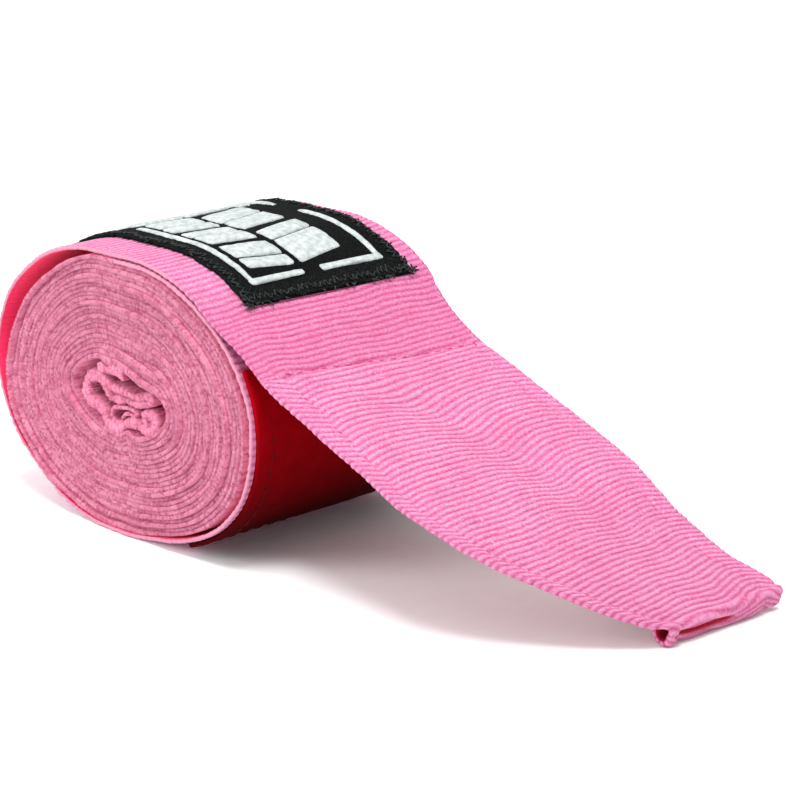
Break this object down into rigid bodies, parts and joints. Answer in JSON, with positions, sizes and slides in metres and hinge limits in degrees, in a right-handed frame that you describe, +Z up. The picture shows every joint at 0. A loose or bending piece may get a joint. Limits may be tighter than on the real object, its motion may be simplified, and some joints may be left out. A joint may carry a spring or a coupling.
{
  "type": "hand wrap",
  "caption": "Elastic cotton hand wrap wound into an oval roll, with a sewn label, a loop tape and a free tail that ends in a tapered hook-tape tip.",
  "frame": {"origin": "centre of the flat that the roll rests on", "axes": "+X the way the tail runs out, +Y along the roll's axis towards its far end, +Z up"},
  "size_m": [0.1457, 0.05, 0.0527],
  "materials": {
    "strip_cotton": "ribbed elastic cotton, matt",
    "thumb_loop_tape": "woven cotton tape, matt",
    "thread": "polyester sewing thread",
    "loop_tape": "brushed nylon loop tape, soft sheen",
    "hook_tape": "nylon hook tape, fine bright hooks",
    "label_cloth": "tight black satin weave",
    "label_thread": "black overlock thread",
    "label_print": "raised white rubber print"
  },
  "bodies": {
    "roll": {"wrap_coil": "strip_cotton", "wrap_inner_fold": "strip_cotton", "wrap_outer_turn": "strip_cotton", "thumb_loop": "thumb_loop_tape", "thumb_loop_tack": "thread", "loop_tape": "loop_tape", "loop_tape_seam": "thread", "label": "label_cloth", "label_seam": "label_thread", "label_frame_marks": "label_print", "label_near_marks": "label_print", "label_middle_marks": "label_print", "label_far_marks": "label_print"},
    "tail_neck": {"tail_neck": "strip_cotton"},
    "tail_first": {"tail_first_panel": "strip_cotton", "hook_tape_first": "hook_tape", "hook_seam_cross": "thread", "hook_seam_first": "thread"},
    "tail_second": {"tail_second_panel": "strip_cotton", "hook_tape_second": "hook_tape", "hook_seam_second": "thread"},
    "tail_tip": {"tail_tip_panel": "strip_cotton", "tail_end_fold": "strip_cotton", "hook_tape_tip": "hook_tape", "hook_seam_tip": "thread"}
  },
  "joints": [
    {"name": "tail_lift", "type": "hinge", "parent": "roll", "child": "tail_neck", "pos_m": [0.02682, 0, 0.04452], "axis": [0, -1, 0], "range_deg": [0, 70]},
    {"name": "tail_curl", "type": "hinge", "parent": "tail_neck", "child": "tail_first", "pos_m": [0.03928, 0, 0.03547], "axis": [0, -1, 0], "range_deg": [-45, 25]},
    {"name": "tail_wrap", "type": "hinge", "parent": "tail_first", "child": "tail_second", "pos_m": [0.05996, 0, 0.02794], "axis": [0, -1, 0], "range_deg": [-56, 31]},
    {"name": "tip_bend", "type": "hinge", "parent": "tail_second", "child": "tail_tip", "pos_m": [0.08086, 0, 0.01885], "axis": [0, -1, 0], "range_deg": [-27, 15]}
  ],
  "couplings": [
    {"joint": "tail_wrap", "follows": "tail_curl", "ratio": 1.24},
    {"joint": "tip_bend", "follows": "tail_curl", "ratio": 0.6}
  ]
}
